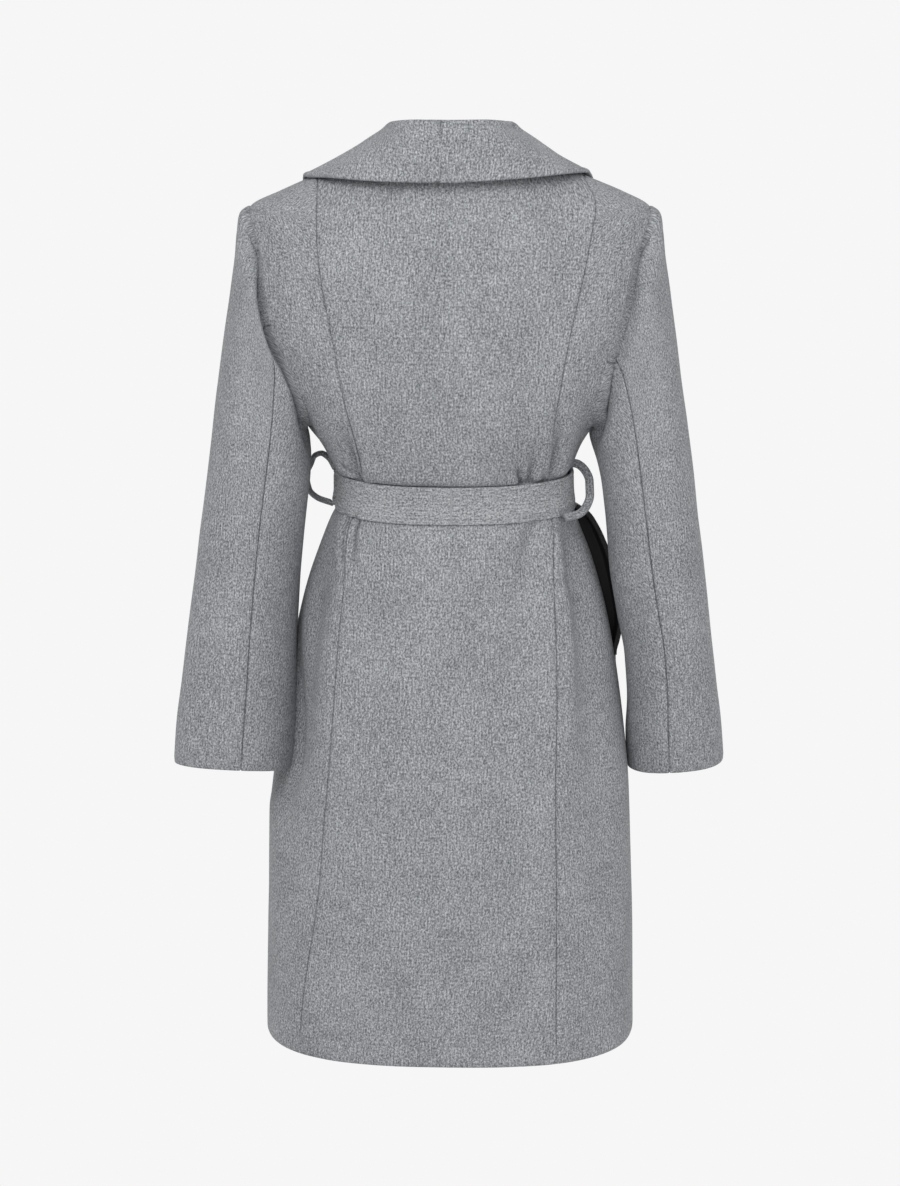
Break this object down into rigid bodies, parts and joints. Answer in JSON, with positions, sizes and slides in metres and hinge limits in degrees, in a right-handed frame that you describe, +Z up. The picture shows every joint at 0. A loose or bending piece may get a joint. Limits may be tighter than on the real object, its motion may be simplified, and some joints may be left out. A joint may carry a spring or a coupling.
{
  "type": "belted wrap coat",
  "caption": "Grey wool wrap coat, filled out as worn, with a wide turned-down collar, a tie belt, loose belt loops and wide straight sleeves.",
  "frame": {"origin": "middle of the neck opening, at the height of the neck's sides, where the wearer's neck and shoulders hold the coat", "axes": "+Z up, the coat faces -Y, +X is the wearer's left"},
  "size_m": [0.583, 0.3042, 0.9776],
  "materials": {
    "coat_wool": "soft brushed wool, salt-and-pepper grey, matt",
    "belt_wool": "the same wool with its grain along the belt, slightly lighter, matt",
    "pocket_lining": "nearly black woven lining, matt"
  },
  "bodies": {
    "root": {"back_centre": "coat_wool", "back_side_left": "coat_wool", "back_side_right": "coat_wool", "front_left": "coat_wool", "front_right": "coat_wool", "sleeve_top_left": "coat_wool", "sleeve_top_right": "coat_wool", "sleeve_under_left": "coat_wool", "sleeve_under_right": "coat_wool", "collar_left": "coat_wool", "collar_right": "coat_wool", "pocket_lining_right": "pocket_lining", "belt_band": "belt_wool", "belt_knot": "belt_wool", "belt_end_left": "belt_wool", "belt_end_right": "belt_wool", "belt_loop_left": "coat_wool", "belt_loop_right": "coat_wool"}
  },
  "joints": []
}
